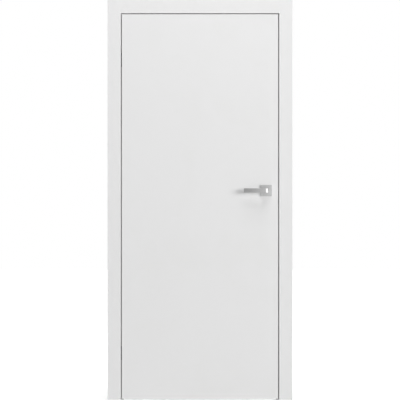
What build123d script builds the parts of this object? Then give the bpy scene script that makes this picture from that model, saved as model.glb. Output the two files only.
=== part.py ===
from build123d import *
import os

# White flush interior door hung on concealed hinges in an adjustable frame (mm).
# X runs along the wall from the hinge side to the lock side.
# Y runs into the wall from the side the door opens to, Z is up.
# The origin is the foot of the hinge jamb's wall face, on the front plane of the wall.

os.makedirs("parts", exist_ok=True)

# Leaf
leaf_width = 824.0
leaf_height = 2027.0
leaf_thickness = 40.0
skin_thickness = 4.0
hinge_stile_width = 60.0
lock_stile_width = 120.0
rail_height = 60.0
edge_round = 0.6
edge_gap = 5.0
floor_gap = 6.0

# Frame
wall_thickness = 100.0
jamb_thickness = 25.0
stop_lap = 10.0
stop_gap = 5.0
adjust_gap = 5.0
architrave_width = 70.0
front_architrave_thickness = 16.0
back_architrave_thickness = 12.0
tongue_thickness = 6.0
tongue_length = 38.0
tongue_inset = 4.0
slide_clearance = 0.3
fit_clearance = 0.2

# Seal in the stop
kerf_width = 3.0
kerf_depth = 7.0
seal_width = 9.0
seal_wall = 1.2
seal_clearance = 0.3

# Concealed hinges
hinge_end_distance = 240.0
case_front = 6.0
case_back = 33.0
case_depth = 16.0
case_height = 92.0
case_wall = 1.5
cavity_depth = 12.0
cavity_height = 80.0
flange_height = 122.0
flange_thickness = 2.5
axis_lead = 3.0
pivot_reach = 9.0
pivot_depth = 12.0
elbow_reach = 10.4
elbow_depth = 21.6
elbow_round = 4.0
arm_width = 4.0
pivot_eye = 4.0
knuckle_eye = 3.6
pivot_pin = 2.5
knuckle_pin = 2.0
pin_seat = 3.0
pin_clearance = 0.1
knuckle_clearance = 0.3
inner_arm_height = 34.0
arm_spacing = 1.0
outer_arm_height = 18.0
screw_inset = 8.0
screw_hole_radius = 2.2
screw_head_radius = 4.0

# Lever handle
handle_height = 1104.0
backset = 63.0
rosette_size = 60.0
rosette_thickness = 9.0
rosette_corner = 3.0
rosette_edge = 0.8
collar_radius = 12.0
collar_length = 12.0
collar_clearance = 0.3
neck_radius = 10.0
collar_edge = 0.8
lever_reach = 118.5
lever_height = 23.0
lever_thickness = 10.0
lever_tip_thickness = 8.0
lever_tip_drop = 8.0
lever_tip_round = 2.5
lever_standoff = 46.0
lever_outer_bend = 15.0
lever_inner_bend = 8.0
lever_edge = 1.0
spindle_side = 8.0
spindle_grip = 38.0
spindle_hole = 11.0

# Lock and strike
lock_drop = 20.0
faceplate_height = 200.0
faceplate_width = 20.0
faceplate_thickness = 3.0
lock_case_height = 165.0
lock_case_depth = 85.0
lock_case_thickness = 16.0
latch_height = 36.0
latch_width = 12.0
latch_depth = 22.0
latch_inset = 8.0
strike_height = 170.0
strike_width = 22.0
strike_thickness = 2.5
strike_pocket_depth = 15.0
strike_wall = 1.2
latch_play = 2.0

# Places that follow from the sizes
leaf_left = jamb_thickness + edge_gap
leaf_right = leaf_left + leaf_width
strike_face = leaf_right + edge_gap
frame_width = strike_face + jamb_thickness
leaf_bottom = floor_gap
leaf_top = leaf_bottom + leaf_height
head_face = leaf_top + edge_gap
frame_height = head_face + jamb_thickness
leaf_front = -front_architrave_thickness
leaf_back = leaf_front + leaf_thickness
leaf_middle = leaf_front + leaf_thickness / 2
stop_face = leaf_back + stop_gap
stop_inner = jamb_thickness + edge_gap + stop_lap
jamb_back = wall_thickness - adjust_gap
overhang = architrave_width - jamb_thickness
overall_height = frame_height + overhang
half_gap = edge_gap / 2
gap_middle = jamb_thickness + half_gap
handle_x = leaf_right - backset
faceplate_z = handle_height - lock_drop
latch_z = faceplate_z + lock_case_height / 2 - latch_inset - latch_height / 2
knuckle_depth = 2 * pivot_depth + axis_lead
hinge_heights = {
    "lower": leaf_bottom + hinge_end_distance,
    "upper": leaf_top - hinge_end_distance,
}

# The three sides of the frame share one section: distance inward from the wall face, and depth.
left_mitre = Plane(origin=(0, 0, frame_height), z_dir=(1, 0, 1))
right_mitre = Plane(origin=(frame_width, 0, frame_height), z_dir=(-1, 0, 1))
left_side = Plane(origin=(0, 0, 0), x_dir=(1, 0, 0), z_dir=(0, 0, 1))
right_side = Plane(origin=(frame_width, 0, 0), x_dir=(-1, 0, 0), z_dir=(0, 0, -1))
head_side = Plane(origin=(-overhang, 0, frame_height), x_dir=(0, 0, -1), z_dir=(1, 0, 0))
sides = {
    "left": (left_side, overall_height, [(left_mitre, Keep.BOTTOM)]),
    "right": (right_side, -overall_height, [(right_mitre, Keep.BOTTOM)]),
    "top": (
        head_side,
        frame_width + 2 * overhang,
        [(left_mitre, Keep.TOP), (right_mitre, Keep.TOP)],
    ),
}


def save(part, name):
    """Label one sub-part and write its STEP file."""
    part.label = name
    export_step(part, f"parts/{name}.step")


def frame_run(side, section):
    """Extrude a section along one side of the frame and mitre its ends."""
    plane, length, mitres = sides[side]
    with BuildSketch(plane) as outline:
        section()
    extrude(outline.sketch, amount=length)
    for mitre, kept in mitres:
        split(bisect_by=mitre, keep=kept)


def jamb_section():
    """Jamb with its rebate, the kerf of the seal and the groove of the back architrave."""
    with BuildLine() as outline:
        Polyline(
            (0, 0),
            (jamb_thickness, 0),
            (jamb_thickness, stop_face),
            (stop_inner, stop_face),
            (stop_inner, jamb_back),
            (0, jamb_back),
            close=True,
        )
    make_face(outline.edges())
    with Locations((leaf_left + stop_lap / 2, stop_face)):
        Rectangle(kerf_width, kerf_depth, align=(Align.CENTER, Align.MIN), mode=Mode.SUBTRACT)
    with Locations((stop_inner - tongue_inset + slide_clearance, jamb_back)):
        Rectangle(
            tongue_thickness + 2 * slide_clearance,
            tongue_length,
            align=(Align.MAX, Align.MAX),
            mode=Mode.SUBTRACT,
        )


def front_architrave_section():
    """Flat board on the wall, flush with the leaf and softly rounded on its face."""
    with Locations((jamb_thickness, 0)):
        Rectangle(architrave_width, front_architrave_thickness, align=(Align.MAX, Align.MAX))
    fillet(vertices().group_by(Axis.Y)[0], radius=edge_round)


def back_architrave_section():
    """Flat board on the far wall with the tongue that slides in the jamb's groove."""
    with Locations((stop_inner - tongue_inset, wall_thickness)):
        Rectangle(architrave_width, back_architrave_thickness, align=(Align.MAX, Align.MIN))
    fillet(vertices().group_by(Axis.Y)[-1], radius=edge_round)
    with Locations((stop_inner - tongue_inset, wall_thickness)):
        Rectangle(tongue_thickness, tongue_length, align=(Align.MAX, Align.MAX))


def seal_section():
    """Hollow bulb on the stop with its stem pressed in the kerf."""
    bulb_depth = stop_gap - seal_clearance
    with Locations((leaf_left + stop_lap / 2, stop_face)):
        Rectangle(seal_width, bulb_depth, align=(Align.CENTER, Align.MAX))
    fillet(vertices().group_by(Axis.Y)[0], radius=bulb_depth / 2)
    with Locations((leaf_left + stop_lap / 2, stop_face - seal_wall)):
        Rectangle(
            seal_width - 2 * seal_wall,
            bulb_depth - 2 * seal_wall,
            align=(Align.CENTER, Align.MAX),
            mode=Mode.SUBTRACT,
        )
    with Locations((leaf_left + stop_lap / 2, stop_face)):
        Rectangle(
            kerf_width - fit_clearance,
            kerf_depth - fit_clearance,
            align=(Align.CENTER, Align.MIN),
        )


def hinge_plane(side, height):
    """Plan of a hinge: distance from the middle of the gap, and depth behind the faces."""
    direction = -1 if side == "frame" else 1
    return Plane(
        origin=(gap_middle, leaf_front, height),
        x_dir=(direction, 0, 0),
        z_dir=(0, 0, direction),
    )


def hinge_envelope(plane, grow, mode):
    """Block and rounded flange of a hinge case, grown by a clearance for its mortise."""
    centre = (case_front + case_back) / 2
    width = case_back - case_front + 2 * grow
    with BuildSketch(plane) as block:
        with Locations((half_gap, centre)):
            Rectangle(case_depth + grow, width, align=(Align.MIN, Align.CENTER))
    extrude(block.sketch, amount=case_height / 2 + grow, both=True, mode=mode)
    flange_origin = plane.from_local_coords(Vector(half_gap, centre, 0))
    flange_plane = Plane(origin=flange_origin, x_dir=(0, 0, 1), z_dir=plane.x_dir)
    with BuildSketch(flange_plane) as flange:
        SlotOverall(flange_height + 2 * grow, width)
    extrude(flange.sketch, amount=flange_thickness + grow, mode=mode)


def screw_holes(centre, direction, height, thickness):
    """Two countersunk holes near the ends of an upright plate, seen along a direction."""
    reach = height / 2 - screw_inset
    face = Plane(origin=centre, x_dir=(0, 0, 1), z_dir=direction)
    with Locations(face):
        with Locations((-reach, 0), (reach, 0)):
            CounterSinkHole(screw_hole_radius, screw_head_radius, thickness)


def hinge_case(side, height):
    """Case with an open cavity, seats for the pivot pin and two screw holes."""
    plane = hinge_plane(side, height)
    centre = (case_front + case_back) / 2
    with BuildPart() as case:
        hinge_envelope(plane, 0, Mode.ADD)
        with BuildSketch(plane):
            with Locations((half_gap, centre)):
                Rectangle(
                    cavity_depth,
                    case_back - case_front - 2 * case_wall,
                    align=(Align.MIN, Align.CENTER),
                )
        extrude(amount=cavity_height / 2, both=True, mode=Mode.SUBTRACT)
        with BuildSketch(plane):
            with Locations((pivot_reach, pivot_depth)):
                Circle(pivot_pin + pin_clearance)
        extrude(amount=cavity_height / 2 + pin_seat + pin_clearance, both=True, mode=Mode.SUBTRACT)
        flange_face = plane.from_local_coords(Vector(half_gap, centre, 0))
        screw_holes(flange_face, -plane.x_dir, flange_height, flange_thickness)
    return case.part


def arm_section():
    """Cranked arm from its pivot in the case to the shared knuckle in the gap."""
    pivot = (pivot_reach, pivot_depth)
    knuckle = (0, knuckle_depth)
    with BuildLine() as bend:
        FilletPolyline(pivot, (elbow_reach, elbow_depth), knuckle, radius=elbow_round)
    trace(bend.edges(), line_width=arm_width)
    with Locations(pivot):
        Circle(pivot_eye)
    with Locations(knuckle):
        Circle(knuckle_eye)


def pin(plane, place, radius, length, mode=Mode.ADD):
    """Upright pin or hole at one place of a hinge plan."""
    with BuildSketch(plane) as outline:
        with Locations(place):
            Circle(radius)
    extrude(outline.sketch, amount=length / 2, both=True, mode=mode)


def inner_arm(height):
    """Middle arm, turning on the frame case, bored for the knuckle pin."""
    plane = hinge_plane("frame", height)
    with BuildPart() as arm:
        with BuildSketch(plane):
            arm_section()
        extrude(amount=inner_arm_height / 2, both=True)
        pin(plane, (pivot_reach, pivot_depth), pivot_pin, cavity_height + 2 * pin_seat)
        hole = knuckle_pin + knuckle_clearance
        pin(plane, (0, knuckle_depth), hole, inner_arm_height, Mode.SUBTRACT)
    return arm.part


def outer_arms(height):
    """Pair of arms above and below the middle one, turning on the leaf case."""
    plane = hinge_plane("leaf", height)
    start = inner_arm_height / 2 + arm_spacing
    with BuildPart() as arms:
        for direction in (-1, 1):
            with BuildSketch(plane.offset(direction * start)):
                arm_section()
            extrude(amount=direction * outer_arm_height)
        pin(plane, (pivot_reach, pivot_depth), pivot_pin, cavity_height + 2 * pin_seat)
        pin(plane, (0, knuckle_depth), knuckle_pin, 2 * (start + outer_arm_height))
    return arms.part


def handle_plane(face):
    """Plan of a lever: reach towards the hinges, and distance out from the leaf's face."""
    if face == "front":
        return Plane(
            origin=(handle_x, leaf_front, handle_height), x_dir=(-1, 0, 0), z_dir=(0, 0, 1)
        )
    return Plane(origin=(handle_x, leaf_back, handle_height), x_dir=(-1, 0, 0), z_dir=(0, 0, -1))


def outward(plane, distance):
    """Plane parallel to the leaf's face at a distance out from it, on the handle's axis."""
    return Plane(
        origin=plane.from_local_coords(Vector(0, distance, 0)),
        x_dir=plane.x_dir,
        z_dir=plane.y_dir,
    )


def rosette(face):
    """Square rosette with softened edges and the bore of the lever's collar."""
    plane = handle_plane(face)
    with BuildPart() as plate:
        with BuildSketch(outward(plane, 0)):
            RectangleRounded(rosette_size, rosette_size, rosette_corner)
        extrude(amount=rosette_thickness)
        outer_face = plate.faces().sort_by(Axis.Y)[0 if face == "front" else -1]
        fillet(outer_face.edges(), radius=rosette_edge)
        with BuildSketch(outward(plane, 0)):
            Circle(collar_radius + collar_clearance)
        extrude(amount=rosette_thickness, mode=Mode.SUBTRACT)
    return plate.part


def lever(face):
    """Flat lever bent out of its neck, on a round collar with a square socket."""
    plane = handle_plane(face)
    outer = lever_standoff + lever_thickness
    tip_outer = outer - lever_tip_drop
    tip_inner = tip_outer - lever_tip_thickness
    bend_foot = lever_standoff - lever_inner_bend
    elbow = (-neck_radius, outer)
    crook = (neck_radius, lever_standoff)
    tip = [(lever_reach, tip_outer), (lever_reach, tip_inner)]
    foot = [(neck_radius, bend_foot), (-neck_radius, bend_foot)]
    with BuildPart() as handle:
        with BuildSketch(plane) as plan:
            with BuildLine():
                TangentArc(elbow, tip[0], tangent=(1, 0))
                Line(*tip)
                TangentArc(crook, tip[1], tangent=(1, 0))
                Polyline(crook, *foot, elbow)
            make_face()
            fillet(vertices().sort_by_distance(elbow)[0], radius=lever_outer_bend)
            fillet(vertices().sort_by_distance(crook)[0], radius=lever_inner_bend - lever_edge)
            fillet(vertices().sort_by(Axis.X)[-2:], radius=lever_tip_round)
        extrude(amount=lever_height / 2, both=True)
        foot_y = plane.from_local_coords(Vector(0, bend_foot, 0)).Y
        rims = handle.faces().filter_by(Axis.Z).edges()
        fillet([rim for rim in rims if abs(rim.center().Y - foot_y) > lever_edge], radius=lever_edge)
        with BuildSketch(outward(plane, collar_length)):
            Circle(neck_radius)
        with BuildSketch(outward(plane, bend_foot)):
            RectangleRounded(2 * neck_radius, lever_height, lever_edge)
        loft()
        with BuildSketch(outward(plane, collar_clearance)):
            Circle(collar_radius)
        extrude(amount=collar_length - collar_clearance)
        collar_rims = handle.edges().filter_by(GeomType.CIRCLE)
        chamfer(collar_rims.filter_by(lambda rim: rim.radius == collar_radius), collar_edge)
        with BuildSketch(outward(plane, collar_clearance)):
            Rectangle(spindle_side + fit_clearance, spindle_side + fit_clearance)
        extrude(amount=spindle_grip, mode=Mode.SUBTRACT)
    return handle.part


def edge_plate(x, z, height, width, depth, mode=Mode.ADD):
    """Round-ended plate let into an edge at one X, running a signed depth along X."""
    face = Plane(origin=(x, leaf_middle, z), x_dir=(0, 0, 1), z_dir=(1, 0, 0))
    with BuildSketch(face) as outline:
        SlotOverall(height, width)
    extrude(outline.sketch, amount=depth, mode=mode)


def strike_envelope(grow, mode):
    """Strike plate with the box behind it, grown by a clearance for its recess."""
    height = strike_height + 2 * grow
    width = strike_width + 2 * grow
    edge_plate(strike_face, latch_z, height, width, strike_thickness + grow, mode)
    box_wall = latch_play + strike_wall + grow
    with Locations((strike_face, leaf_middle, latch_z)):
        Box(
            strike_pocket_depth + grow,
            latch_width + 2 * box_wall,
            latch_height + 2 * box_wall,
            align=(Align.MIN, Align.CENTER, Align.CENTER),
            mode=mode,
        )


# Jambs and head, each in one piece with its stop
with BuildPart() as hinge_jamb:
    frame_run("left", jamb_section)
    for height in hinge_heights.values():
        hinge_envelope(hinge_plane("frame", height), fit_clearance, Mode.SUBTRACT)
save(hinge_jamb.part, "hinge_jamb")

with BuildPart() as strike_jamb:
    frame_run("right", jamb_section)
    strike_envelope(fit_clearance, Mode.SUBTRACT)
save(strike_jamb.part, "strike_jamb")

with BuildPart() as head_jamb:
    frame_run("top", jamb_section)
save(head_jamb.part, "head_jamb")

# Architraves on both sides of the wall
with BuildPart() as front_architrave_left:
    frame_run("left", front_architrave_section)
    for height in hinge_heights.values():
        hinge_envelope(hinge_plane("frame", height), fit_clearance, Mode.SUBTRACT)
save(front_architrave_left.part, "front_architrave_left")

with BuildPart() as front_architrave_right:
    frame_run("right", front_architrave_section)
    strike_envelope(fit_clearance, Mode.SUBTRACT)
save(front_architrave_right.part, "front_architrave_right")

with BuildPart() as front_architrave_top:
    frame_run("top", front_architrave_section)
save(front_architrave_top.part, "front_architrave_top")

for side in sides:
    with BuildPart() as back_architrave:
        frame_run(side, back_architrave_section)
    save(back_architrave.part, f"back_architrave_{side}")

# Seals round the stop
for side in sides:
    with BuildPart() as seal:
        frame_run(side, seal_section)
    save(seal.part, f"seal_{side}")

# Strike plate with the pocket that takes the latch
with BuildPart() as strike_plate:
    strike_envelope(0, Mode.ADD)
    with Locations((strike_face, leaf_middle, latch_z)):
        Box(
            strike_pocket_depth - strike_wall,
            latch_width + 2 * latch_play,
            latch_height + 2 * latch_play,
            align=(Align.MIN, Align.CENTER, Align.CENTER),
            mode=Mode.SUBTRACT,
        )
    plate_centre = (strike_face, leaf_middle, latch_z)
    screw_holes(plate_centre, (-1, 0, 0), strike_height, strike_thickness)
save(strike_plate.part, "strike_plate")

# Leaf: two skins over stiles, rails and a core
inner_front = leaf_front + skin_thickness
inner_back = leaf_back - skin_thickness
inner_depth = inner_back - inner_front
for name, skin_front, shown in (("front_skin", leaf_front, 0), ("back_skin", inner_back, -1)):
    with BuildPart() as skin:
        with Locations((leaf_left, skin_front, leaf_bottom)):
            Box(leaf_width, skin_thickness, leaf_height, align=Align.MIN)
        fillet(skin.faces().sort_by(Axis.Y)[shown].edges(), radius=edge_round)
        with Locations(Location((handle_x, skin_front, handle_height), (-90, 0, 0))):
            Cylinder(
                spindle_hole,
                skin_thickness,
                align=(Align.CENTER, Align.CENTER, Align.MIN),
                mode=Mode.SUBTRACT,
            )
    save(skin.part, name)

with BuildPart() as hinge_stile:
    with Locations((leaf_left, inner_front, leaf_bottom)):
        Box(hinge_stile_width, inner_depth, leaf_height, align=Align.MIN)
    for height in hinge_heights.values():
        hinge_envelope(hinge_plane("leaf", height), fit_clearance, Mode.SUBTRACT)
save(hinge_stile.part, "hinge_stile")

lock_case_x = leaf_right - faceplate_thickness
with BuildPart() as lock_stile:
    with Locations((leaf_right, inner_front, leaf_bottom)):
        Box(lock_stile_width, inner_depth, leaf_height, align=(Align.MAX, Align.MIN, Align.MIN))
    edge_plate(
        leaf_right,
        faceplate_z,
        faceplate_height + 2 * fit_clearance,
        faceplate_width + 2 * fit_clearance,
        -faceplate_thickness,
        Mode.SUBTRACT,
    )
    with Locations((leaf_right, leaf_middle, faceplate_z)):
        Box(
            faceplate_thickness + lock_case_depth + fit_clearance,
            lock_case_thickness + 2 * fit_clearance,
            lock_case_height + 2 * fit_clearance,
            align=(Align.MAX, Align.CENTER, Align.CENTER),
            mode=Mode.SUBTRACT,
        )
    with Locations(Location((handle_x, leaf_middle, handle_height), (-90, 0, 0))):
        Cylinder(spindle_hole, inner_depth, mode=Mode.SUBTRACT)
save(lock_stile.part, "lock_stile")

rail_left = leaf_left + hinge_stile_width
rail_length = leaf_width - hinge_stile_width - lock_stile_width
for name, rail_bottom in (("bottom_rail", leaf_bottom), ("top_rail", leaf_top - rail_height)):
    with BuildPart() as rail:
        with Locations((rail_left, inner_front, rail_bottom)):
            Box(rail_length, inner_depth, rail_height, align=Align.MIN)
    save(rail.part, name)

with BuildPart() as leaf_core:
    with Locations((rail_left, inner_front, leaf_bottom + rail_height)):
        Box(rail_length, inner_depth, leaf_height - 2 * rail_height, align=Align.MIN)
save(leaf_core.part, "leaf_core")

# Concealed hinges
for name, height in hinge_heights.items():
    save(hinge_case("frame", height), f"{name}_frame_case")
    save(hinge_case("leaf", height), f"{name}_leaf_case")
    save(inner_arm(height), f"{name}_frame_arm")
    save(outer_arms(height), f"{name}_leaf_arms")

# Lock in the edge of the leaf
with BuildPart() as lock_case:
    with Locations((lock_case_x, leaf_middle, faceplate_z)):
        Box(
            lock_case_depth,
            lock_case_thickness,
            lock_case_height,
            align=(Align.MAX, Align.CENTER, Align.CENTER),
        )
    with Locations((lock_case_x, leaf_middle, latch_z)):
        Box(
            latch_depth,
            latch_width + 2 * fit_clearance,
            latch_height + 2 * fit_clearance,
            align=(Align.MAX, Align.CENTER, Align.CENTER),
            mode=Mode.SUBTRACT,
        )
    with Locations(Location((handle_x, leaf_middle, handle_height), (-90, 0, 0))):
        Cylinder(spindle_hole, lock_case_thickness, mode=Mode.SUBTRACT)
save(lock_case.part, "lock_case")

with BuildPart() as lock_faceplate:
    edge_plate(leaf_right, faceplate_z, faceplate_height, faceplate_width, -faceplate_thickness)
    with Locations((leaf_right, leaf_middle, latch_z)):
        Box(
            2 * faceplate_thickness,
            latch_width + 2 * fit_clearance,
            latch_height + 2 * fit_clearance,
            mode=Mode.SUBTRACT,
        )
    plate_centre = (leaf_right, leaf_middle, faceplate_z)
    screw_holes(plate_centre, (1, 0, 0), faceplate_height, faceplate_thickness)
save(lock_faceplate.part, "lock_faceplate")

with BuildPart() as latch_bolt:
    with Locations((leaf_right, leaf_middle, latch_z)):
        Box(
            faceplate_thickness + latch_depth,
            latch_width,
            latch_height,
            align=(Align.MAX, Align.CENTER, Align.CENTER),
        )
save(latch_bolt.part, "latch_bolt")

# Lever handles on one spindle
for face in ("front", "back"):
    save(rosette(face), f"{face}_rosette")
    save(lever(face), f"{face}_lever")

with BuildPart() as spindle:
    with Locations((handle_x, leaf_middle, handle_height)):
        Box(spindle_side, leaf_thickness + 2 * spindle_grip, spindle_side)
save(spindle.part, "spindle")
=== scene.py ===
"""Finishes, small hardware and a plain studio for a white flush door in its frame."""

import math

import bmesh
import bpy
from bpy.props import FloatProperty, FloatVectorProperty, PointerProperty
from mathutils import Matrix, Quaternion, Vector


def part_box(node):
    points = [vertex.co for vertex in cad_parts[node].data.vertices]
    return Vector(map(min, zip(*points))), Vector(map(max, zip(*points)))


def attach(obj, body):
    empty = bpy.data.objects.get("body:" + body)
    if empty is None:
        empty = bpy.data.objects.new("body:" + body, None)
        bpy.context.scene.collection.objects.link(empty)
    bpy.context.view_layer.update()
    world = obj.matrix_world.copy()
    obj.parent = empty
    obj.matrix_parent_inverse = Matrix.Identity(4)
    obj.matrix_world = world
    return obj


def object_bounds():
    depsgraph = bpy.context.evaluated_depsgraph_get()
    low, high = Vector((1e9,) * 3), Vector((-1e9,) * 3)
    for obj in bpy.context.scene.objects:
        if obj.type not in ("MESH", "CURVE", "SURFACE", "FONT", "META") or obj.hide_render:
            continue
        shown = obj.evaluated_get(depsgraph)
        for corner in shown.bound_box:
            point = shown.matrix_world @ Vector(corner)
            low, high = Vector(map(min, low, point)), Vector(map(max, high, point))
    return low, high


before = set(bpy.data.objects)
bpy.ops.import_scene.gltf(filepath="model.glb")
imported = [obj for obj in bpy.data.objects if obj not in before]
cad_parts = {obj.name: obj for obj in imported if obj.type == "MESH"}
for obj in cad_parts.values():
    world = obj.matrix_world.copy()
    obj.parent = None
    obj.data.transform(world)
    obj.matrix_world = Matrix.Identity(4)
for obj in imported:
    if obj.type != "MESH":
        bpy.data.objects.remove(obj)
cad_box = [list(corner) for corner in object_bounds()]

bl_info = {
    "name": "White flush door",
    "version": (1, 0, 0),
    "blender": (4, 5, 0),
    "location": "3D View > Sidebar > Door",
    "description": "Finishes and small hardware for a flush door, with a plain studio",
    "category": "Object",
}

MM = 0.001
WHITE = (1, 1, 1, 1)
SENSOR_WIDTH = 36.0

SIDES = ("left", "right", "top")
JAMBS = ("hinge_jamb", "strike_jamb", "head_jamb")
ARCHITRAVES = tuple(f"{face}_architrave_{side}" for face in ("front", "back") for side in SIDES)
LEAF_BOARDS = ("front_skin", "back_skin", "hinge_stile", "lock_stile", "top_rail", "bottom_rail")
SEALS = tuple(f"seal_{side}" for side in SIDES)
LEVERS = ("front_lever", "back_lever")
ROSETTES = ("front_rosette", "back_rosette")
HINGES = ("upper", "lower")
HINGE_CASES = tuple(f"{hinge}_{side}_case" for hinge in HINGES for side in ("frame", "leaf"))
HINGE_ARMS = tuple(f"{hinge}_{arm}" for hinge in HINGES for arm in ("frame_arm", "leaf_arms"))
UPRIGHT_PLATES = ("lock_faceplate", "strike_plate")
LOCK_METAL = ("spindle", "lock_case")

# Each screwed plate: the body it rides on, and the way its face looks along X.
SCREWED_PLATES = {
    "upper_frame_case": ("frame", 1),
    "lower_frame_case": ("frame", 1),
    "upper_leaf_case": ("leaf", -1),
    "lower_leaf_case": ("leaf", -1),
    "lock_faceplate": ("leaf", 1),
    "strike_plate": ("frame", -1),
}

# The way out of the leaf along Y, on each side of the door.
OUTWARD = {"front": -1, "back": 1}

# How the small hardware is modelled, and how far each screw is turned past the one before it.
SCREW_SIDES = 40
RING_SIDES = 64
RIM_SEGMENTS = 2
CORNER_SEGMENTS = 4
MERGE_DISTANCE = 0.001 * MM
UPWARD_NORMAL = 0.99
SMOOTH_ANGLE = math.radians(30)
SCREW_TURN = math.radians(37)

# Scales that draw the grain of brushed metal out along one way.
GRAIN_ALONG_X = (25.0, 2200.0, 2200.0)
GRAIN_UPRIGHT = (2000.0, 2000.0, 22.0)

# Sockets of a Mix node that mixes colours, whose names it also gives to other sockets.
MIX_FACTOR = 0
MIX_FIRST = 6
MIX_SECOND = 7
MIX_RESULT = 2

# Rays that look straight at the studio, and rays that meet it in metal or glass.
CAMERA_RAYS = ("Is Camera Ray",)
MIRROR_RAYS = ("Is Glossy Ray", "Is Transmission Ray")

# Lamps that only show as highlights, and lamps that only light.
HIGHLIGHT_LAMPS = ("side", "sheen")
LIGHTING_LAMPS = ("key", "front", "top", "left", "back")


def colour(name, description, shade):
    """A linear colour that a user may change."""
    return FloatVectorProperty(
        name=name, description=description, default=shade, size=3, min=0, max=1, subtype="COLOR"
    )


def length(name, description, millimetres):
    """A length that a user may change, kept in metres."""
    return FloatProperty(
        name=name,
        description=description,
        default=millimetres * MM,
        min=0,
        precision=4,
        subtype="DISTANCE",
        unit="LENGTH",
    )


def power(name, description, watts):
    """The power of a lamp that a user may change."""
    return FloatProperty(name=name, description=description, default=watts, min=0, unit="POWER")


def strength(name, description, share):
    """The strength of a glow, where 1 is white."""
    return FloatProperty(name=name, description=description, default=share, min=0)


def point(name, description, place):
    """A place in the scene that a user may change."""
    return FloatVectorProperty(
        name=name, description=description, default=place, size=3, subtype="TRANSLATION"
    )


class DoorFinishes(bpy.types.PropertyGroup):
    """Colours of the door's finishes."""

    lacquer: colour("Lacquer", "Satin lacquer of leaf and frame", (0.82, 0.82, 0.82))
    lacquer_dull: colour("Handled lacquer", "Lacquer where hands and dust dull it", (0.81, 0.81, 0.807))
    chipboard: colour("Chipboard", "Raw core of the leaf", (0.56, 0.4, 0.24))
    chip_dark: colour("Dark chips", "Darker chips in the core", (0.3, 0.19, 0.1))
    seal: colour("Seal", "Soft seal in the stop", (0.55, 0.55, 0.55))
    lever: colour("Lever", "Satin nickel of the levers", (0.54, 0.54, 0.54))
    rosette: colour("Rosette", "Satin nickel of the rosettes", (0.61, 0.61, 0.61))
    plate: colour("Plate", "Satin steel of faceplate and strike", (0.58, 0.58, 0.575))
    casting: colour("Casting", "Zinc casting of the hinges", (0.5, 0.5, 0.51))
    screw: colour("Screw", "Plated steel of the screws", (0.62, 0.62, 0.61))
    latch: colour("Latch", "Moulded latch", (0.72, 0.72, 0.72))


class DoorHardware(bpy.types.PropertyGroup):
    """Sizes of the small hardware."""

    screw_inset: length("Screw inset", "From a plate's end to the screw", 8.0)
    screw_radius: length("Screw radius", "Countersunk head, at its face", 3.8)
    shank_radius: length("Shank radius", "Countersunk head, at its foot", 2.1)
    screw_height: length("Screw height", "Countersunk head, face to foot", 1.9)
    screw_sink: length("Screw sink", "How far a screw sits below its plate", 0.1)
    screw_edge: length("Screw edge", "Rounding of a screw's rim", 0.2)
    cross_length: length("Cross length", "Arm to arm of the cross recess", 4.4)
    cross_width: length("Cross width", "One arm of the cross recess", 1.1)
    recess_depth: length("Recess depth", "Cross and hexagon recesses", 1.1)
    adjuster_radius: length("Adjuster radius", "Adjusting screw of a hinge", 2.6)
    adjuster_stand: length("Adjuster stand", "How far an adjuster stands proud", 0.4)
    adjuster_inset: length("Adjuster inset", "From a flange's end to the adjuster", 16.5)
    socket_radius: length("Socket radius", "Corner radius of a hexagon socket", 1.5)
    grub_radius: length("Grub radius", "Clamping screw under a lever's neck", 2.2)
    grub_offset: length("Grub offset", "From the rosette out to the clamping screw", 14.0)
    grub_stand: length("Grub stand", "How far the clamping screw stands proud", 0.25)
    neck_radius: length("Neck radius", "Round neck of a lever", 10.0)
    ring_inner: length("Ring bore", "Bore radius of the bearing ring round a collar", 12.3)
    ring_outer: length("Ring radius", "Outer radius of the bearing ring", 13.6)
    ring_stand: length("Ring stand", "How far the ring stands off the rosette", 0.5)
    ring_edge: length("Ring edge", "Rounding of the bearing ring", 0.2)
    magnet_margin: length("Magnet margin", "Latch face left round its magnet", 3.0)
    magnet_corner: length("Magnet corner", "Corner radius of the magnet", 1.5)
    magnet_stand: length("Magnet stand", "How far the magnet stands off the latch", 0.3)
    magnet_edge: length("Magnet edge", "Rounding of the magnet", 0.2)


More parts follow.
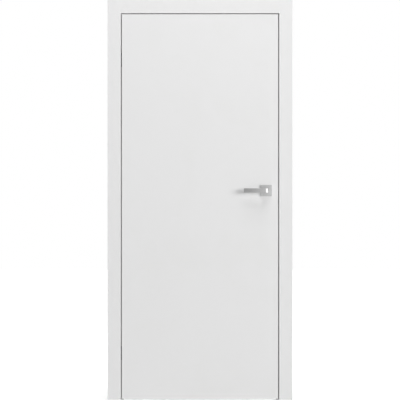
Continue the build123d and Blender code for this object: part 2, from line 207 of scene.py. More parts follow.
class DoorStudio(bpy.types.PropertyGroup):
    """Camera and light of the studio."""

    camera_distance: length("Camera distance", "From the camera to the door's face", 16000)
    key_place: point("Key place", "Place of the wide light at the right", (18.0, -17.4, 3.2))
    key_power: power("Key power", "Power of the wide light at the right", 4230)
    key_width: length("Key width", "Width of the wide light at the right", 14000)
    key_height: length("Key height", "Height of the wide light at the right", 9000)
    side_place: point("Side place", "Place of the low highlight beside the lock", (5.2, -1.2, 1.15))
    side_power: power("Side power", "Power of the low highlight beside the lock", 39)
    side_width: length("Side width", "Width of the low highlight beside the lock", 3000)
    side_height: length("Side height", "Height of the low highlight beside the lock", 1200)
    sheen_place: point("Sheen place", "Place of the dim highlight at the right", (6.3, -6.1, 1.15))
    sheen_power: power("Sheen power", "Power of the dim highlight at the right", 55)
    sheen_width: length("Sheen width", "Width of the dim highlight at the right", 4200)
    sheen_height: length("Sheen height", "Height of the dim highlight at the right", 1200)
    front_place: point("Front place", "Place of the light before the hinge side", (0.027, -6.5, 1.15))
    front_power: power("Front power", "Power of the light before the hinge side", 42)
    front_width: length("Front width", "Width of the light before the hinge side", 250)
    front_height: length("Front height", "Height of the light before the hinge side", 600)
    top_place: point("Top place", "Place of the broad light above the door", (1.0, -2.6, 6.0))
    top_power: power("Top power", "Power of the broad light above the door", 126)
    top_width: length("Top width", "Width of the broad light above the door", 2500)
    top_height: length("Top height", "Height of the broad light above the door", 2500)
    left_place: point("Left place", "Place of the broad light at the left", (-7.0, 1.6, 2.0))
    left_power: power("Left power", "Power of the broad light at the left", 250)
    left_width: length("Left width", "Width of the broad light at the left", 2500)
    left_height: length("Left height", "Height of the broad light at the left", 2500)
    back_place: point("Back place", "Place of the broad light behind the door", (2.0, 6.0, 3.5))
    back_power: power("Back power", "Power of the broad light behind the door", 255)
    back_width: length("Back width", "Width of the broad light behind the door", 2500)
    back_height: length("Back height", "Height of the broad light behind the door", 2500)
    fill: strength("Fill", "Even light from all around", 0.115)
    flag: colour("Flag", "Dark flag that the metal reflects", (0.03, 0.03, 0.03))
    flag_place: point("Flag place", "Foot of the flag's right edge", (-1.3, -17.0, 0.0))
    flag_width: length("Flag width", "Flag, side to side", 9000)
    flag_height: length("Flag height", "Flag, floor to top", 6000)
    flag_return: length("Flag return", "Flag's left part, towards the door", 27000)
    floor: colour("Floor", "Floor as it lights the door", (0.65, 0.65, 0.65))
    floor_shade: colour("Floor shade", "Floor as it takes the door's shadow", (0.8, 0.8, 0.8))
    floor_glow: strength("Floor glow", "Part of the floor's white that stays in a shadow", 0.36)
    floor_reach: length("Floor reach", "How far from the door the floor takes a shadow", 3500)
    floor_size: length("Floor size", "Floor, side to side", 60000)


def nodes_named(names):
    """The CAD nodes of these names."""
    missing = [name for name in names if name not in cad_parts]
    if missing:
        raise RuntimeError(f"the frame has no node named {', '.join(missing)}")
    return [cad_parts[name] for name in names]


def give_finish(names, material):
    """Puts one material on every slot of these CAD nodes."""
    for node in nodes_named(names):
        if not node.material_slots:
            node.data.materials.append(material)
        for slot in node.material_slots:
            slot.material = material


def add_node(tree, kind, place, settings=None, **inputs):
    """Adds a shader node; inputs are given by name, with spaces written as underscores."""
    made = tree.nodes.new(kind)
    made.location = place
    for name, value in (settings or {}).items():
        setattr(made, name, value)
    for name, value in inputs.items():
        made.inputs[name.replace("_", " ")].default_value = value
    return made


def node_group(name, inputs, outputs):
    """A new shader node group with its sockets, and its two end nodes."""
    tree = bpy.data.node_groups.new(name, "ShaderNodeTree")
    tree.interface.new_socket("Vector", in_out="INPUT", socket_type="NodeSocketVector")
    for label, default in inputs.items():
        socket = tree.interface.new_socket(label, in_out="INPUT", socket_type="NodeSocketFloat")
        socket.default_value = default
    for label in outputs:
        tree.interface.new_socket(label, in_out="OUTPUT", socket_type="NodeSocketFloat")
    start = add_node(tree, "NodeGroupInput", (-800, 0))
    end = add_node(tree, "NodeGroupOutput", (600, 0))
    return tree, start, end


def sprayed_film():
    """Group: the faint orange peel of a sprayed film, on a slow waviness."""
    name = "Sprayed film"
    if name in bpy.data.node_groups:
        return bpy.data.node_groups[name]
    tree, start, end = node_group(name, {"Peel": 420.0, "Wave": 38.0, "Share": 0.3}, ["Height"])
    link = tree.links.new
    peel = add_node(tree, "ShaderNodeTexNoise", (-500, 200), Detail=2.0, Roughness=0.45)
    wave = add_node(tree, "ShaderNodeTexNoise", (-500, -150), Detail=1.0, Roughness=0.4)
    blend = add_node(tree, "ShaderNodeMix", (-100, 50), {"data_type": "FLOAT"})
    for texture, scale in ((peel, "Peel"), (wave, "Wave")):
        link(start.outputs["Vector"], texture.inputs["Vector"])
        link(start.outputs[scale], texture.inputs["Scale"])
    link(start.outputs["Share"], blend.inputs["Factor"])
    link(peel.outputs["Fac"], blend.inputs["A"])
    link(wave.outputs["Fac"], blend.inputs["B"])
    link(blend.outputs["Result"], end.inputs["Height"])
    return tree


def handling_marks():
    """Group: soft cloudy patches where hands, cloths and dust have dulled a surface."""
    name = "Handling marks"
    if name in bpy.data.node_groups:
        return bpy.data.node_groups[name]
    tree, start, end = node_group(name, {"Scale": 6.0, "Low": 0.45, "High": 0.7}, ["Mask"])
    link = tree.links.new
    cloud = add_node(tree, "ShaderNodeTexNoise", (-500, 0), Detail=5.0, Roughness=0.62, Distortion=0.4)
    ramp = add_node(tree, "ShaderNodeMapRange", (-100, 0), {"interpolation_type": "SMOOTHSTEP"})
    link(start.outputs["Vector"], cloud.inputs["Vector"])
    link(start.outputs["Scale"], cloud.inputs["Scale"])
    link(cloud.outputs["Fac"], ramp.inputs["Value"])
    link(start.outputs["Low"], ramp.inputs["From Min"])
    link(start.outputs["High"], ramp.inputs["From Max"])
    link(ramp.outputs["Result"], end.inputs["Mask"])
    return tree


def brushed_grain():
    """Group: fine lines of a brushed metal, with a few deeper scratches among them."""
    name = "Brushed grain"
    if name in bpy.data.node_groups:
        return bpy.data.node_groups[name]
    tree, start, end = node_group(name, {"Fine": 1.0, "Deep": 0.32}, ["Lines", "Scratches"])
    link = tree.links.new
    fine = add_node(tree, "ShaderNodeTexNoise", (-500, 200), Detail=3.0, Roughness=0.6)
    deep = add_node(tree, "ShaderNodeTexNoise", (-500, -150), Detail=1.0, Roughness=0.5)
    scratches = add_node(tree, "ShaderNodeMapRange", (-100, -150), From_Min=0.66, From_Max=0.74)
    for texture, scale in ((fine, "Fine"), (deep, "Deep")):
        link(start.outputs["Vector"], texture.inputs["Vector"])
        link(start.outputs[scale], texture.inputs["Scale"])
    link(deep.outputs["Fac"], scratches.inputs["Value"])
    link(fine.outputs["Fac"], end.inputs["Lines"])
    link(scratches.outputs["Result"], end.inputs["Scratches"])
    return tree


def new_material(name, base, roughness, metallic=0.0):
    """A material with its shader, its Object coordinates and its plain values set."""
    material = bpy.data.materials.new(name)
    material.use_nodes = True
    tree = material.node_tree
    shader = tree.nodes["Principled BSDF"]
    shader.inputs["Base Color"].default_value = (*base, 1.0)
    shader.inputs["Roughness"].default_value = roughness
    shader.inputs["Metallic"].default_value = metallic
    material.diffuse_color = (*base, 1.0)
    place = add_node(tree, "ShaderNodeTexCoord", (-1300, 0))
    return material, tree, shader, place.outputs["Object"]


def use_group(tree, group, place, vector, **inputs):
    """Places a node group in a material and feeds it the coordinates."""
    made = add_node(tree, "ShaderNodeGroup", place, {"node_tree": group}, **inputs)
    tree.links.new(vector, made.inputs["Vector"])
    return made


def stretch(tree, vector, scale, place=(-1100, 0)):
    """Scales the coordinates, so that a pattern runs along one way."""
    mapping = add_node(tree, "ShaderNodeMapping", place, Scale=scale)
    tree.links.new(vector, mapping.inputs["Vector"])
    return mapping.outputs["Vector"]


def vary_roughness(tree, shader, value, low, high):
    """Lets a value between 0 and 1 move the roughness from low to high."""
    ramp = add_node(tree, "ShaderNodeMapRange", (-350, -120), To_Min=low, To_Max=high)
    tree.links.new(value, ramp.inputs["Value"])
    tree.links.new(ramp.outputs["Result"], shader.inputs["Roughness"])


def vary_colour(tree, shader, value, first, second):
    """Lets a value between 0 and 1 move the colour from the first to the second."""
    blend = add_node(tree, "ShaderNodeMix", (-350, 200), {"data_type": "RGBA"})
    blend.inputs[MIX_FIRST].default_value = (*first, 1.0)
    blend.inputs[MIX_SECOND].default_value = (*second, 1.0)
    tree.links.new(value, blend.inputs[MIX_FACTOR])
    tree.links.new(blend.outputs[MIX_RESULT], shader.inputs["Base Color"])


def raise_surface(tree, shader, value, strength, distance):
    """Feeds a height to the shader's normal through a bump."""
    bump = add_node(tree, "ShaderNodeBump", (-350, -420), Strength=strength, Distance=distance)
    tree.links.new(value, bump.inputs["Height"])
    tree.links.new(bump.outputs["Normal"], shader.inputs["Normal"])


def shaded(base, share):
    """A colour made darker by a share."""
    return tuple(part * share for part in base)


def brushed_metal(name, base, grain_scale, low, high):
    """Satin metal, brushed along the way where the grain's scale is small."""
    material, tree, shader, place = new_material(name, base, low, metallic=1.0)
    grain = use_group(tree, brushed_grain(), (-800, -100), stretch(tree, place, grain_scale))
    marks = use_group(tree, handling_marks(), (-800, 250), place, Scale=45.0)
    vary_roughness(tree, shader, grain.outputs["Lines"], low, high)
    vary_colour(tree, shader, marks.outputs["Mask"], base, shaded(base, 0.93))
    raise_surface(tree, shader, grain.outputs["Scratches"], strength=0.12, distance=0.02 * MM)
    return material


def cast_metal(name, base, low, high):
    """Metal with the fine even grain of a casting or a plating."""
    material, tree, shader, place = new_material(name, base, low, metallic=1.0)
    film = use_group(tree, sprayed_film(), (-800, -300), place, Peel=1500.0, Wave=160.0)
    marks = use_group(tree, handling_marks(), (-800, 100), place, Scale=90.0)
    vary_roughness(tree, shader, marks.outputs["Mask"], low, high)
    vary_colour(tree, shader, marks.outputs["Mask"], base, shaded(base, 0.86))
    raise_surface(tree, shader, film.outputs["Height"], strength=0.25, distance=0.08 * MM)
    return material


def moulded(name, base, low, high):
    """Soft or hard plastic with a fine moulded grain."""
    material, tree, shader, place = new_material(name, base, low)
    film = use_group(tree, sprayed_film(), (-800, -300), place, Peel=1100.0, Wave=120.0)
    marks = use_group(tree, handling_marks(), (-800, 100), place, Scale=60.0)
    vary_roughness(tree, shader, marks.outputs["Mask"], low, high)
    vary_colour(tree, shader, marks.outputs["Mask"], base, shaded(base, 0.92))
    raise_surface(tree, shader, film.outputs["Height"], strength=0.2, distance=0.1 * MM)
    return material


def lacquer(finishes):
    """White satin lacquer: faint orange peel, and slow changes of sheen."""
    low, high = 0.4, 0.5
    material, tree, shader, place = new_material("white_lacquer", finishes.lacquer, low)
    film = use_group(tree, sprayed_film(), (-800, -300), place)
    marks = use_group(tree, handling_marks(), (-800, 100), place, Scale=3.5)
    vary_roughness(tree, shader, marks.outputs["Mask"], low, high)
    vary_colour(tree, shader, marks.outputs["Mask"], finishes.lacquer, finishes.lacquer_dull)
    raise_surface(tree, shader, film.outputs["Height"], strength=0.1, distance=0.12 * MM)
    return material


def chipboard(finishes):
    """Pressed chips of mixed shades."""
    chip_shape = (1.0, 1.0, 0.45)
    material, tree, shader, place = new_material("core_board", finishes.chipboard, 0.8)
    chips = add_node(tree, "ShaderNodeTexVoronoi", (-800, 200), Scale=260.0)
    tree.links.new(stretch(tree, place, chip_shape), chips.inputs["Vector"])
    tone = add_node(tree, "ShaderNodeSeparateColor", (-600, 200))
    tree.links.new(chips.outputs["Color"], tone.inputs["Color"])
    vary_colour(tree, shader, tone.outputs["Red"], finishes.chipboard, finishes.chip_dark)
    raise_surface(tree, shader, chips.outputs["Distance"], strength=0.4, distance=0.3 * MM)
    return material


def screw_steel(finishes):
    """Plated steel of screws and magnet, made the first time it is asked for."""
    name = "screw_steel"
    return bpy.data.materials.get(name) or cast_metal(name, finishes.screw, low=0.26, high=0.36)


def latch_mould(finishes):
    """Moulded plastic of latch and bearing rings, made the first time it is asked for."""
    name = "latch_plastic"
    return bpy.data.materials.get(name) or moulded(name, finishes.latch, low=0.4, high=0.5)


def deselect():
    """Goes to object mode, with nothing selected."""
    if bpy.context.object and bpy.context.object.mode != "OBJECT":
        bpy.ops.object.mode_set(mode="OBJECT")
    bpy.ops.object.select_all(action="DESELECT")


def make_active(piece):
    """Selects one object alone."""
    deselect()
    piece.select_set(True)
    bpy.context.view_layer.objects.active = piece


def apply_place():
    """Puts the selected object's place, turn and scale into its mesh."""
    bpy.ops.object.transform_apply(location=True, rotation=True, scale=True)


def pick(piece, kind, wanted):
    """In edit mode, selects the faces or edges that a test picks by their place or normal."""
    bpy.ops.mesh.select_mode(type=kind)
    bpy.ops.mesh.select_all(action="DESELECT")
    mesh = bmesh.from_edit_mesh(piece.data)
    elements = mesh.faces if kind == "FACE" else mesh.edges
    found = [element for element in elements if wanted(element)]
    if not found:
        raise RuntimeError(f"{piece.name} has no such {kind.lower()}")
    for element in found:
        element.select_set(True)
    bmesh.update_edit_mesh(piece.data)


def looks_up(face):
    """True for a face that looks along +Z."""
    return face.normal.z > UPWARD_NORMAL


def round_rim(blank, width):
    """Rounds the rim of the face that looks along +Z."""
    make_active(blank)
    bpy.ops.object.mode_set(mode="EDIT")
    pick(blank, "FACE", looks_up)
    bpy.ops.mesh.region_to_loop()
    bpy.ops.mesh.bevel(offset=width, segments=RIM_SEGMENTS, affect="EDGES")
    bpy.ops.object.mode_set(mode="OBJECT")


def thicken(height):
    """In edit mode, draws a flat sheet out along Z and turns its faces outwards."""
    bpy.ops.mesh.select_all(action="SELECT")
    bpy.ops.mesh.extrude_region_move(TRANSFORM_OT_translate={"value": (0, 0, height)})
    bpy.ops.mesh.select_all(action="SELECT")
    bpy.ops.mesh.normals_make_consistent(inside=False)


def cut_away(piece, tool):
    """Cuts one object out of another and removes the tool."""
    make_active(piece)
    cut = piece.modifiers.new("cut", "BOOLEAN")
    cut.operation = "DIFFERENCE"
    cut.solver = "EXACT"
    cut.object = tool
    bpy.ops.object.modifier_apply(modifier=cut.name)
    bpy.data.objects.remove(tool)


def screw_blank(foot_radius, face_radius, height, edge):
    """Head of a screw that looks along +Z from the origin, with a rounded rim."""
    deselect()
    bpy.ops.mesh.primitive_cone_add(
        vertices=SCREW_SIDES,
        radius1=foot_radius,
        radius2=face_radius,
        depth=height,
        location=(0, 0, -height / 2),
    )
    blank = bpy.context.object
    apply_place()
    round_rim(blank, edge)
    return blank


def cross_recess(blank, hardware):
    """Sinks a cross in the face of a screw."""
    for quarter in range(2):
        deselect()
        bpy.ops.mesh.primitive_cube_add(size=1, location=(0, 0, 0))
        arm = bpy.context.object
        arm.scale = (hardware.cross_length, hardware.cross_width, 2 * hardware.recess_depth)
        arm.rotation_euler.z = quarter * math.pi / 2
        apply_place()
        cut_away(blank, arm)


def hexagon_recess(blank, hardware):
    """Sinks a hexagon socket in the face of a screw."""
    deselect()
    bpy.ops.mesh.primitive_cylinder_add(
        vertices=6, radius=hardware.socket_radius, depth=2 * hardware.recess_depth, location=(0, 0, 0)
    )
    cut_away(blank, bpy.context.object)


def ring_blank(hardware):
    """Flat ring that looks along +Z, with rounded rims; half of its height sits in the rosette."""
    outer_share = hardware.ring_outer / hardware.ring_inner
    deselect()
    bpy.ops.mesh.primitive_circle_add(
        vertices=RING_SIDES, radius=hardware.ring_inner, fill_type="NOTHING"
    )
    blank = bpy.context.object
    bpy.ops.object.mode_set(mode="EDIT")
    bpy.ops.mesh.select_all(action="SELECT")
    bpy.ops.mesh.extrude_edges_move()
    bpy.ops.transform.resize(value=(outer_share, outer_share, 1))
    thicken(-2 * hardware.ring_stand)
    bpy.ops.object.mode_set(mode="OBJECT")
    round_rim(blank, hardware.ring_edge)
    return blank


def magnet_plate(across, along, hardware):
    """Plate on the origin that looks along +Z, with round corners and a rounded rim."""
    deselect()
    bpy.ops.mesh.primitive_plane_add(size=1)
    plate = bpy.context.object
    plate.scale = (across, along, 1)
    apply_place()
    bpy.ops.object.mode_set(mode="EDIT")
    bpy.ops.mesh.select_all(action="SELECT")
    bpy.ops.mesh.bevel(offset=hardware.magnet_corner, segments=CORNER_SEGMENTS, affect="VERTICES")
    thicken(hardware.magnet_stand)
    bpy.ops.object.mode_set(mode="OBJECT")
    round_rim(plate, hardware.magnet_edge)
    return plate


def finish_piece(piece, name, body, material):
    """Names, smooths and paints a new piece, and hangs it on its body."""
    make_active(piece)
    apply_place()
    bpy.ops.object.mode_set(mode="EDIT")
    bpy.ops.mesh.select_all(action="SELECT")
    bpy.ops.mesh.remove_doubles(threshold=MERGE_DISTANCE)
    bpy.ops.mesh.normals_make_consistent(inside=False)
    bpy.ops.object.mode_set(mode="OBJECT")
    bpy.ops.object.shade_smooth_by_angle(angle=SMOOTH_ANGLE)
    piece.name = name
    piece.data.name = name
    piece.data.materials.clear()
    piece.data.materials.append(material)
    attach(piece, body)
    deselect()


def set_copies(blank, places):
    """Copies a blank to each place and direction, and joins the copies to one piece."""
    copies = []
    for index, (place, direction) in enumerate(places):
        copy = blank.copy()
        copy.data = blank.data.copy()
        bpy.context.scene.collection.objects.link(copy)
        turn = Quaternion((0, 0, 1), index * SCREW_TURN)
        copy.rotation_mode = "QUATERNION"
        copy.rotation_quaternion = Vector(direction).to_track_quat("Z", "Y") @ turn
        copy.location = place
        make_active(copy)
        apply_place()
        copies.append(copy)
    deselect()
    for copy in copies:
        copy.select_set(True)
    bpy.context.view_layer.objects.active = copies[0]
    if len(copies) > 1:
        bpy.ops.object.join()
    return copies[0]


def plate_places(plate, look, inset, stand):
    """The places near both ends of an upright plate, with the way its face looks."""
    low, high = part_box(plate)
    face = high.x if look > 0 else low.x
    middle = (low.y + high.y) / 2
    return [
        ((face + look * stand, middle, height), (look, 0, 0))
        for height in (low.z + inset, high.z - inset)
    ]


def off_rosette(side, stand):
    """The point on a handle's axis that lies this far off its rosette."""
    low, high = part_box(f"{side}_rosette")
    place = (low + high) / 2
    face = low.y if OUTWARD[side] < 0 else high.y
    place.y = face + OUTWARD[side] * stand
    return place


class DOOR_OT_finish_boards(bpy.types.Operator):
    """Lacquer the leaf, jambs and architraves, and show the leaf's core as chipboard"""

    bl_idname = "door.finish_boards"
    bl_label = "Finish boards"

    def execute(self, context):
        finishes = context.scene.door_finishes
        give_finish(JAMBS + ARCHITRAVES + LEAF_BOARDS, lacquer(finishes))
        give_finish(("leaf_core",), chipboard(finishes))
        return {"FINISHED"}


class DOOR_OT_finish_seals(bpy.types.Operator):
    """Give the seals in the stop a soft extruded finish"""

    bl_idname = "door.finish_seals"
    bl_label = "Finish seals"

    def execute(self, context):
        finishes = context.scene.door_finishes
        give_finish(SEALS, moulded("seal_rubber", finishes.seal, low=0.6, high=0.72))
        return {"FINISHED"}


class DOOR_OT_finish_handles(bpy.types.Operator):
    """Brush the levers and rosettes to a satin nickel"""

    bl_idname = "door.finish_handles"
    bl_label = "Finish handles"

    def execute(self, context):
        finishes = context.scene.door_finishes
        lever = brushed_metal("lever_nickel", finishes.lever, GRAIN_ALONG_X, low=0.26, high=0.38)
        rosette = brushed_metal("rosette_nickel", finishes.rosette, GRAIN_ALONG_X, low=0.42, high=0.54)
        give_finish(LEVERS, lever)
        give_finish(ROSETTES, rosette)
        return {"FINISHED"}


class DOOR_OT_finish_ironmongery(bpy.types.Operator):
    """Finish the lock, strike plate and hinges"""

    bl_idname = "door.finish_ironmongery"
    bl_label = "Finish ironmongery"

    def execute(self, context):
        finishes = context.scene.door_finishes
        steel = brushed_metal("satin_steel", finishes.plate, GRAIN_UPRIGHT, low=0.28, high=0.4)
        zinc = cast_metal("hinge_zinc", finishes.casting, low=0.36, high=0.5)
        give_finish(UPRIGHT_PLATES + LOCK_METAL, steel)
        give_finish(HINGE_CASES + HINGE_ARMS, zinc)
        give_finish(("latch_bolt",), latch_mould(finishes))
        return {"FINISHED"}


class DOOR_OT_add_plate_screws(bpy.types.Operator):
    """Put countersunk screws in the holes of hinges, faceplate and strike plate"""

    bl_idname = "door.add_plate_screws"
    bl_label = "Add plate screws"

    def execute(self, context):
        hardware = context.scene.door_hardware
        steel = screw_steel(context.scene.door_finishes)
        blank = screw_blank(
            hardware.shank_radius, hardware.screw_radius, hardware.screw_height, hardware.screw_edge
        )
        cross_recess(blank, hardware)
        for plate, (body, look) in SCREWED_PLATES.items():
            places = plate_places(plate, look, hardware.screw_inset, -hardware.screw_sink)
            finish_piece(set_copies(blank, places), f"{plate}_screws", body, steel)
        bpy.data.objects.remove(blank)
        return {"FINISHED"}


class DOOR_OT_add_hinge_adjusters(bpy.types.Operator):
    """Put the adjusting screws in the flanges of the hinges"""

    bl_idname = "door.add_hinge_adjusters"
    bl_label = "Add hinge adjusters"

    def execute(self, context):
        hardware = context.scene.door_hardware
        steel = screw_steel(context.scene.door_finishes)
        radius = hardware.adjuster_radius
        blank = screw_blank(radius, radius, hardware.screw_height, hardware.screw_edge)
        hexagon_recess(blank, hardware)
        for plate in HINGE_CASES:
            body, look = SCREWED_PLATES[plate]
            places = plate_places(plate, look, hardware.adjuster_inset, hardware.adjuster_stand)
            finish_piece(set_copies(blank, places), f"{plate}_adjusters", body, steel)
        bpy.data.objects.remove(blank)
        return {"FINISHED"}


class DOOR_OT_add_clamping_screws(bpy.types.Operator):
    """Put the clamping screw under the neck of each lever"""

    bl_idname = "door.add_clamping_screws"
    bl_label = "Add clamping screws"

    def execute(self, context):
        hardware = context.scene.door_hardware
        steel = screw_steel(context.scene.door_finishes)
        radius = hardware.grub_radius
        blank = screw_blank(radius, radius, hardware.screw_height, hardware.screw_edge)
        hexagon_recess(blank, hardware)
        for side in OUTWARD:
            place = off_rosette(side, hardware.grub_offset)
            place.z -= hardware.neck_radius + hardware.grub_stand
            screw = set_copies(blank, [(place, (0, 0, -1))])
            finish_piece(screw, f"{side}_clamping_screw", "handle", steel)
        bpy.data.objects.remove(blank)
        return {"FINISHED"}


class DOOR_OT_add_bearing_rings(bpy.types.Operator):
    """Put a thin bearing ring round the collar of each lever"""

    bl_idname = "door.add_bearing_rings"
    bl_label = "Add bearing rings"

    def execute(self, context):
        hardware = context.scene.door_hardware
        plastic = latch_mould(context.scene.door_finishes)
        blank = ring_blank(hardware)
        for side, look in OUTWARD.items():
            place = off_rosette(side, hardware.ring_stand)
            ring = set_copies(blank, [(place, (0, look, 0))])
            finish_piece(ring, f"{side}_bearing_ring", "leaf", plastic)
        bpy.data.objects.remove(blank)
        return {"FINISHED"}


class DOOR_OT_add_latch_magnet(bpy.types.Operator):
    """Put the magnet's steel face in the end of the latch"""

    bl_idname = "door.add_latch_magnet"
    bl_label = "Add latch magnet"

    def execute(self, context):
        hardware = context.scene.door_hardware
        steel = screw_steel(context.scene.door_finishes)
        low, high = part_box("latch_bolt")
        margin = hardware.magnet_margin
        tall = high.z - low.z - 2 * margin
        deep = high.y - low.y - 2 * margin
        magnet = magnet_plate(tall, deep, hardware)
        magnet.rotation_euler.y = math.pi / 2
        magnet.location = (high.x, (low.y + high.y) / 2, (low.z + high.z) / 2)
        finish_piece(magnet, "latch_magnet", "leaf", steel)
        return {"FINISHED"}


def seen_by(tree, rays):
    """1 for rays of these kinds, and 0 for others."""
    path = add_node(tree, "ShaderNodeLightPath", (-900, 300))
    total = path.outputs[rays[0]]
    for ray in rays[1:]:
        either = add_node(tree, "ShaderNodeMath", (-650, 300), {"operation": "MAXIMUM"})
        tree.links.new(total, either.inputs[0])
        tree.links.new(path.outputs[ray], either.inputs[1])
        total = either.outputs[0]
    return total


def choose(tree, place, factor, first, second):
    """The first shader where the factor is 0, and the second where it is 1."""
    mix = add_node(tree, "ShaderNodeMixShader", place)
    for source, socket in zip((factor, first, second), mix.inputs):
        tree.links.new(source, socket)
    return mix.outputs["Shader"]


def set_world(studio):
    """White all round where it is seen, and an even fill where it lights."""
    world = bpy.data.worlds.new("studio_world")
    bpy.context.scene.world = world
    world.use_nodes = True
    tree = world.node_tree
    tree.nodes.clear()
    fill = add_node(tree, "ShaderNodeBackground", (-150, -150), Color=WHITE, Strength=studio.fill)
    white = add_node(tree, "ShaderNodeBackground", (-150, 100), Color=WHITE, Strength=1.0)
    seen = seen_by(tree, CAMERA_RAYS + MIRROR_RAYS)
    around = choose(tree, (150, 0), seen, fill.outputs[0], white.outputs[0])
    out = add_node(tree, "ShaderNodeOutputWorld", (400, 0))
    tree.links.new(around, out.inputs["Surface"])


def fading_glow(tree, studio):
    """Glow that is weak at the door, where the floor takes its shadow, and white further off."""
    spread = (1 / studio.floor_reach,) * 3
    place = add_node(tree, "ShaderNodeTexCoord", (-1100, 600))
    near = add_node(tree, "ShaderNodeTexGradient", (-700, 600), {"gradient_type": "SPHERICAL"})
    fade = add_node(tree, "ShaderNodeMapRange", (-400, 600), To_Min=1.0, To_Max=studio.floor_glow)
    glow = add_node(tree, "ShaderNodeEmission", (-150, 150), Color=WHITE)
    tree.links.new(stretch(tree, place.outputs["Object"], spread, (-900, 600)), near.inputs["Vector"])
    tree.links.new(near.outputs["Fac"], fade.inputs["Value"])
    tree.links.new(fade.outputs["Result"], glow.inputs["Strength"])
    return glow.outputs[0]


def floor_material(studio):
    """White with the door's shadow for the camera, plain white in metal, and pale as it lights."""
    material = bpy.data.materials.new("studio_floor")
    material.use_nodes = True
    tree = material.node_tree
    tree.nodes.clear()
    pale = add_node(tree, "ShaderNodeBsdfDiffuse", (-150, -200), Color=(*studio.floor, 1))
    shade = add_node(tree, "ShaderNodeBsdfDiffuse", (-150, 0), Color=(*studio.floor_shade, 1))
    mirrored = add_node(tree, "ShaderNodeEmission", (-150, -350), Color=WHITE, Strength=1.0)
    white = add_node(tree, "ShaderNodeAddShader", (80, 80))
    tree.links.new(shade.outputs[0], white.inputs[0])
    tree.links.new(fading_glow(tree, studio), white.inputs[1])
    unseen = choose(tree, (80, -200), seen_by(tree, MIRROR_RAYS), pale.outputs[0], mirrored.outputs[0])
    floor = choose(tree, (300, 0), seen_by(tree, CAMERA_RAYS), unseen, white.outputs[0])
    out = add_node(tree, "ShaderNodeOutputMaterial", (500, 0))
    tree.links.new(floor, out.inputs["Surface"])
    return material


def add_floor(studio, place):
    """A wide floor under the door."""
    deselect()
    bpy.ops.mesh.primitive_plane_add(size=studio.floor_size, location=place)
    floor = bpy.context.object
    floor.name = "studio_floor"
    floor.data.materials.append(floor_material(studio))


def flag_material(studio):
    """Dark cloth of the flag."""
    low, high = 0.85, 0.95
    material, tree, shader, place = new_material("studio_flag", studio.flag, low)
    marks = use_group(tree, handling_marks(), (-800, 100), place, Scale=2.0)
    vary_roughness(tree, shader, marks.outputs["Mask"], low, high)
    return material


def add_flag(studio):
    """A dark flag beside the camera, bent towards the door at its left, for the metal to mirror."""
    foot = Vector(studio.flag_place)
    middle = foot + Vector((-studio.flag_width, 0, studio.flag_height)) / 2
    deselect()
    bpy.ops.mesh.primitive_plane_add(size=1, rotation=(math.pi / 2, 0, 0))
    flag = bpy.context.object
    flag.name = "studio_flag"
    flag.scale = (studio.flag_width, studio.flag_height, 1)
    flag.location = middle
    apply_place()
    bpy.ops.object.mode_set(mode="EDIT")
    pick(flag, "EDGE", lambda edge: all(vert.co.x < middle.x for vert in edge.verts))
    bpy.ops.mesh.extrude_region_move(TRANSFORM_OT_translate={"value": (0, studio.flag_return, 0)})
    bpy.ops.object.mode_set(mode="OBJECT")
    flag.data.materials.append(flag_material(studio))
    flag.visible_camera = False
    flag.visible_diffuse = False


def add_soft_light(lamp, studio, aim):
    """A soft light of the studio, looking at a point."""
    place = Vector(getattr(studio, f"{lamp}_place"))
    bpy.ops.object.light_add(type="AREA", location=place)
    light = bpy.context.object
    light.name = f"{lamp}_light"
    light.data.shape = "RECTANGLE"
    light.data.size = getattr(studio, f"{lamp}_width")
    light.data.size_y = getattr(studio, f"{lamp}_height")
    light.data.energy = getattr(studio, f"{lamp}_power")
    light.rotation_mode = "QUATERNION"
    light.rotation_quaternion = (aim - place).to_track_quat("-Z", "Y")
    return light


def add_camera(studio, place, height):
    """A camera that looks along +Y and takes in this height at its distance from the door."""
    bpy.ops.object.camera_add(location=place, rotation=(math.pi / 2, 0, 0))
    camera = bpy.context.object
    camera.name = "front_camera"
    camera.data.sensor_width = SENSOR_WIDTH
    camera.data.lens = SENSOR_WIDTH * studio.camera_distance / height
    bpy.context.scene.camera = camera


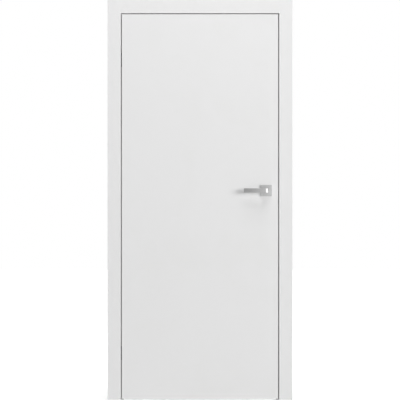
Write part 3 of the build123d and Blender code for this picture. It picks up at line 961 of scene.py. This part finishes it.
class DOOR_OT_set_stage(bpy.types.Operator):
    """Set the floor, the soft lights and the camera straight before the door"""

    bl_idname = "door.set_stage"
    bl_label = "Set stage"

    def execute(self, context):
        studio = context.scene.door_studio
        low, high = (Vector(corner) for corner in cad_box)
        middle = (low + high) / 2
        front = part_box("front_architrave_top")[0].y
        add_floor(studio, (middle.x, middle.y, low.z))
        add_flag(studio)
        for lamp in HIGHLIGHT_LAMPS:
            add_soft_light(lamp, studio, middle).visible_diffuse = False
        for lamp in LIGHTING_LAMPS:
            add_soft_light(lamp, studio, middle).visible_glossy = False
        set_world(studio)
        add_camera(studio, (middle.x, front - studio.camera_distance, middle.z), high.z - low.z)
        context.scene.view_settings.view_transform = "Standard"
        deselect()
        return {"FINISHED"}


GROUPS = {
    "door_finishes": DoorFinishes,
    "door_hardware": DoorHardware,
    "door_studio": DoorStudio,
}

OPERATORS = (
    DOOR_OT_finish_boards,
    DOOR_OT_finish_seals,
    DOOR_OT_finish_handles,
    DOOR_OT_finish_ironmongery,
    DOOR_OT_add_plate_screws,
    DOOR_OT_add_hinge_adjusters,
    DOOR_OT_add_clamping_screws,
    DOOR_OT_add_bearing_rings,
    DOOR_OT_add_latch_magnet,
    DOOR_OT_set_stage,
)


class DOOR_PT_panel(bpy.types.Panel):
    """Lists the steps that finish and dress the door, and their settings"""

    bl_idname = "DOOR_PT_panel"
    bl_label = "White flush door"
    bl_space_type = "VIEW_3D"
    bl_region_type = "UI"
    bl_category = "Door"

    def draw(self, context):
        for step in OPERATORS:
            self.layout.operator(step.bl_idname)
        for name, group in GROUPS.items():
            box = self.layout.box()
            for setting in group.__annotations__:
                box.prop(getattr(context.scene, name), setting)


def register():
    """Registers the settings, the operators and the panel."""
    for name, group in GROUPS.items():
        bpy.utils.register_class(group)
        setattr(bpy.types.Scene, name, PointerProperty(type=group))
    for step in OPERATORS:
        bpy.utils.register_class(step)
    bpy.utils.register_class(DOOR_PT_panel)


def unregister():
    """Removes what register added, in the opposite order."""
    bpy.utils.unregister_class(DOOR_PT_panel)
    for step in reversed(OPERATORS):
        bpy.utils.unregister_class(step)
    for name, group in reversed(GROUPS.items()):
        delattr(bpy.types.Scene, name)
        bpy.utils.unregister_class(group)


def main():
    """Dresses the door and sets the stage."""
    register()
    bpy.ops.door.finish_boards()
    bpy.ops.door.finish_seals()
    bpy.ops.door.finish_handles()
    bpy.ops.door.finish_ironmongery()
    bpy.ops.door.add_plate_screws()
    bpy.ops.door.add_hinge_adjusters()
    bpy.ops.door.add_clamping_screws()
    bpy.ops.door.add_bearing_rings()
    bpy.ops.door.add_latch_magnet()
    bpy.ops.door.set_stage()


if __name__ == "__main__":
    main()
